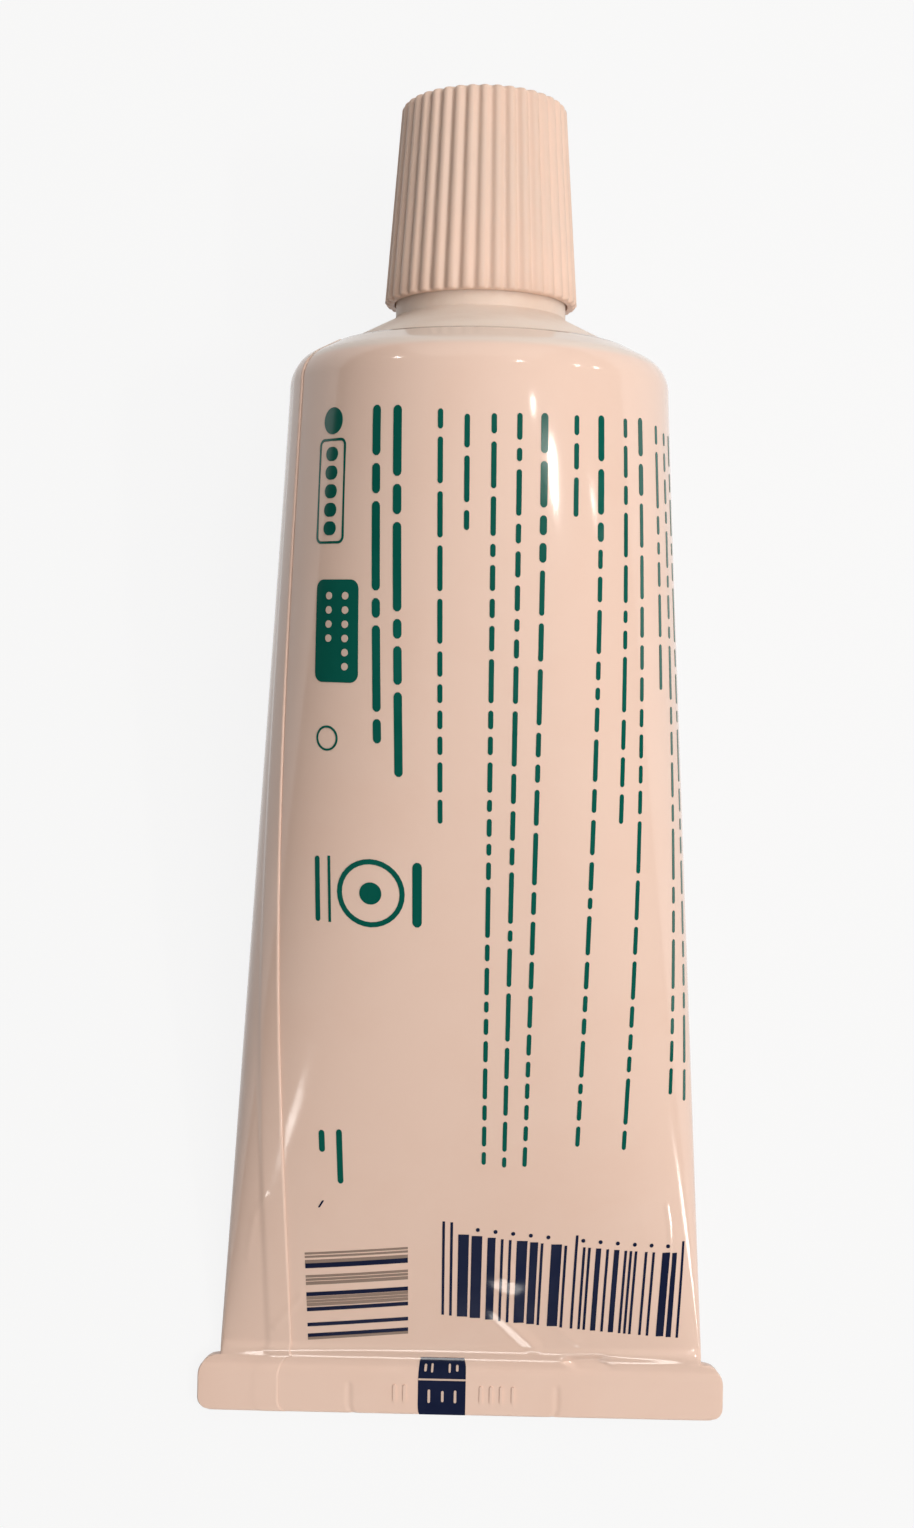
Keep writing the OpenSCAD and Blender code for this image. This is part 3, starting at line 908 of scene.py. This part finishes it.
def add_frame(bm, s, p, width, length, radius, stroke):
    """The outline of a rectangle with round corners."""
    loops = []
    for inset in (0, stroke):
        points = outline(width - 2 * inset, length - 2 * inset, radius - inset)
        verts = [bm.verts.new((s + x, p + y, 0)) for x, y in points]
        loops += [bm.edges.new((verts[i - 1], verts[i])) for i in range(len(verts))]
    bmesh.ops.bridge_loops(bm, edges=loops)


def add_ring(bm, s, p, size, stroke):
    """A ring of the artwork."""
    add_frame(bm, s, p, size, size, size / 2, stroke)


def add_words(bm, s, p_from, p_to, bar, pitch, bold_to=None):
    """A line of stand-in print from p_from down to p_to, a bar for each word."""
    p = p_from
    while p - pitch * WORD_LETTERS[0] > p_to:
        length = min(pitch * random.choice(WORD_LETTERS), p - p_to)
        bold = bold_to is not None and p > bold_to
        middle = p - length / 2
        add_bar(bm, s - LINE_DRIFT * (PRINT_TOP - middle), middle, BOLD_BAR if bold else bar,
                length, LINE_DRIFT)
        p -= length + WORD_GAP


def add_dots(bm, s, p, count, step, width, length):
    """A row of round dots from p down, which stands for a word on a badge."""
    for i in range(count):
        add_box(bm, s, p - i * step, width, length, min(width, length) / 2, cell=0.15)


def wrapped(bm, name, material, rise=INK_T, thickness=INK_T):
    """The flat artwork goes onto the film as a thin closed layer, which stands off by rise. The
    film's column at s = 0 is a whole girth on from its edge under the lap."""
    for v in bm.verts:
        v.co = film_point(v.co.x + GIRTH, v.co.y, rise)
    bmesh.ops.reverse_faces(bm, faces=bm.faces)
    bmesh.ops.solidify(bm, geom=bm.faces[:], thickness=thickness)
    bmesh.ops.recalc_face_normals(bm, faces=bm.faces)
    finished(bm, name, material, "tube")


def green_print(material):
    """The lines of stand-in text and the plain marks beside them."""
    bm = bmesh.new()
    for s, p_from, p_to, bold_to in TEXT_LINES:
        add_words(bm, s, p_from, p_to, TEXT_BAR, LETTER_PITCH, bold_to)
    for s, p_from, p_to in NOTICE_LINES:
        add_words(bm, s, p_from, p_to, NOTICE_BAR, NOTICE_PITCH)
    add_disc(bm, *DISC, cell=0.2)
    add_frame(bm, *PILL)
    add_dots(bm, *PILL_WORD)
    add_box(bm, *BADGE, cell=0.3)
    add_ring(bm, *SMALL_RING)
    s, p, size, stroke, middle = TARGET
    add_ring(bm, s, p, size, stroke)
    add_disc(bm, s, p, middle, cell=0.2)
    add_box(bm, *TARGET_LINE)
    for s, p_from, p_to, bar in PLAIN_LINES:
        add_bar(bm, s, (p_from + p_to) / 2, bar, p_from - p_to)
    wrapped(bm, "green_print", material)


def navy_print(material):
    """The bar code with dots for its digits, the dark stripes, the speck and the weld's mark."""
    bm = bmesh.new()
    s = BARS_FROM
    while s > BARS_TO:
        drop = BARS_SLOPE * (BARS_FROM - s)
        guard = any(0 <= start - s < GUARD_MODULES * MODULE for start in GUARDS)
        width = MODULE * (1 if guard else random.choice(BAR_MODULES))
        gap = MODULE * (2 if guard else random.choice(GAP_MODULES))
        top = BARS_TOP - drop + (GUARD_MORE if guard else 0)
        bottom = BARS_BOTTOM - drop
        add_box(bm, s - width / 2, (top + bottom) / 2, width, top - bottom, cell=0.3)
        s -= width + gap
    s = BARS_FROM - DIGIT_STEP * 2
    while s > BARS_TO + DIGIT_STEP:
        near_guard = any(abs(start - 2 * MODULE - s) < DIGIT_FREE for start in GUARDS)
        if not near_guard:
            p = BARS_TOP - BARS_SLOPE * (BARS_FROM - s) + DIGIT_RISE
            add_disc(bm, s, p, DIGIT_MARK, cell=0.1)
        s -= DIGIT_STEP
    for p, width in DARK_STRIPES:
        add_box(bm, STRIPE_S, p, STRIPE_W, width, cell=0.5, slope=STRIPE_SLOPE)
    s, p, width, length, lean = SPECK
    add_box(bm, s, p, width, length, width / 2, cell=0.08, lean=lean)
    add_box(bm, *WELD_MARK, cell=0.15)
    wrapped(bm, "navy_print", material)


def grey_print(material):
    """The thin grey lines of the stripe block."""
    bm = bmesh.new()
    for p, width in GREY_STRIPES:
        add_box(bm, STRIPE_S, p, STRIPE_W, width, cell=0.5, slope=STRIPE_SLOPE)
    wrapped(bm, "grey_print", material)


def light_print(material):
    """Light marks in the badge and in the weld's mark."""
    bm = bmesh.new()
    for row in BADGE_WORDS:
        add_dots(bm, *row)
    for place in WELD_MARK_BARS:
        add_bar(bm, *place)
    add_box(bm, *WELD_MARK_LINE)
    wrapped(bm, "light_print", material, 2 * INK_T)


def embossing(material):
    """Plain raised strokes in the weld."""
    bm = bmesh.new()
    p, width, length = EMBOSSED
    for s in EMBOSSED_S:
        add_bar(bm, s, p, width, length)
    wrapped(bm, "embossing", material, EMBOSSED_RISE, EMBOSSED_RISE)


# Stage

def math_node(nodes, operation):
    """A new node that does one sum."""
    node = nodes.new("ShaderNodeMath")
    node.operation = operation
    return node


def floor_material():
    """A floor that looks white and keeps the tube's soft shadow."""
    material = bpy.data.materials.new("white_floor")
    material.use_nodes = True
    nodes, links = material.node_tree.nodes, material.node_tree.links
    shader = nodes["Principled BSDF"]
    shader.inputs["Base Color"].default_value = linear(*FLOOR_GREY)
    shader.inputs["Roughness"].default_value = 0.9
    shader.inputs["Specular IOR Level"].default_value = 0.1
    white = nodes.new("ShaderNodeEmission")
    rays = nodes.new("ShaderNodeLightPath")
    seen = math_node(nodes, "MAXIMUM")
    through = math_node(nodes, "MAXIMUM")
    share = math_node(nodes, "MULTIPLY")
    share.inputs[1].default_value = FLOOR_WHITE
    mix = nodes.new("ShaderNodeMixShader")
    links.new(rays.outputs["Is Camera Ray"], seen.inputs[0])
    links.new(rays.outputs["Is Glossy Ray"], seen.inputs[1])
    links.new(seen.outputs["Value"], through.inputs[0])
    links.new(rays.outputs["Is Transmission Ray"], through.inputs[1])
    links.new(through.outputs["Value"], share.inputs[0])
    links.new(share.outputs["Value"], mix.inputs["Fac"])
    links.new(shader.outputs["BSDF"], mix.inputs[1])
    links.new(white.outputs["Emission"], mix.inputs[2])
    links.new(mix.outputs["Shader"], nodes["Material Output"].inputs["Surface"])
    return material


def floor():
    """A wide floor just under the tube."""
    bm = bmesh.new()
    bmesh.ops.create_grid(bm, x_segments=1, y_segments=1, size=FLOOR_HALF)
    bmesh.ops.translate(bm, vec=(0, 0, -FLOOR_GAP), verts=bm.verts)
    mesh = bpy.data.meshes.new("floor")
    bm.to_mesh(mesh)
    bm.free()
    mesh.materials.append(floor_material())
    in_scene("floor", mesh)


def lamp(name, toward, distance, size, power):
    """A soft lamp in the direction toward from the tube's middle, turned to face it."""
    data = bpy.data.lights.new(name, "AREA")
    data.shape = "RECTANGLE"
    data.size, data.size_y = size
    data.energy = power
    data.color = WARM
    piece = in_scene(name, data)
    direction = Vector(toward).normalized()
    piece.location = direction * distance
    piece.rotation_euler = direction.to_track_quat("Z", "Y").to_euler()
    piece.visible_glossy = name not in UNMIRRORED


def world_light():
    """A faint light from all sides."""
    world = bpy.data.worlds.new("studio")
    world.use_nodes = True
    background = world.node_tree.nodes["Background"]
    background.inputs["Color"].default_value = WORLD_COLOUR
    background.inputs["Strength"].default_value = WORLD_STRENGTH
    bpy.context.scene.world = world


def camera():
    """The photograph's own view, straight down on the tube."""
    data = bpy.data.cameras.new("camera")
    data.sensor_width = SENSOR_W
    data.lens = CAMERA_FOCAL_PX / IMAGE_H * data.sensor_width
    data.clip_start = 0.01
    piece = in_scene("camera", data)
    about_x, about_y, about_z = CAMERA_TURN
    turn = (Matrix.Rotation(about_y, 4, "Y") @ Matrix.Rotation(about_x, 4, "X")
            @ Matrix.Rotation(about_z, 4, "Z"))
    piece.matrix_world = Matrix.Translation(Vector(CAMERA_AT) * MM) @ turn.transposed()
    bpy.context.scene.camera = piece


random.seed(PRINT_SEED)
camera()
world_light()
for lamp_values in LAMPS:
    lamp(*lamp_values)
for toward in GLINTS:
    lamp("glint", toward, *GLINT)
floor()
film = laminate()
sleeve(film)
head(head_plastic())
foil_seal(foil())
cap(cap_plastic())
green_print(ink("green_ink", GREEN_INK))
navy_print(ink("navy_ink", NAVY_INK))
grey_print(ink("grey_ink", GREY_INK))
light_print(ink("light_ink", LIGHT_INK))
embossing(film)

bpy.context.scene.view_settings.view_transform = "Standard"
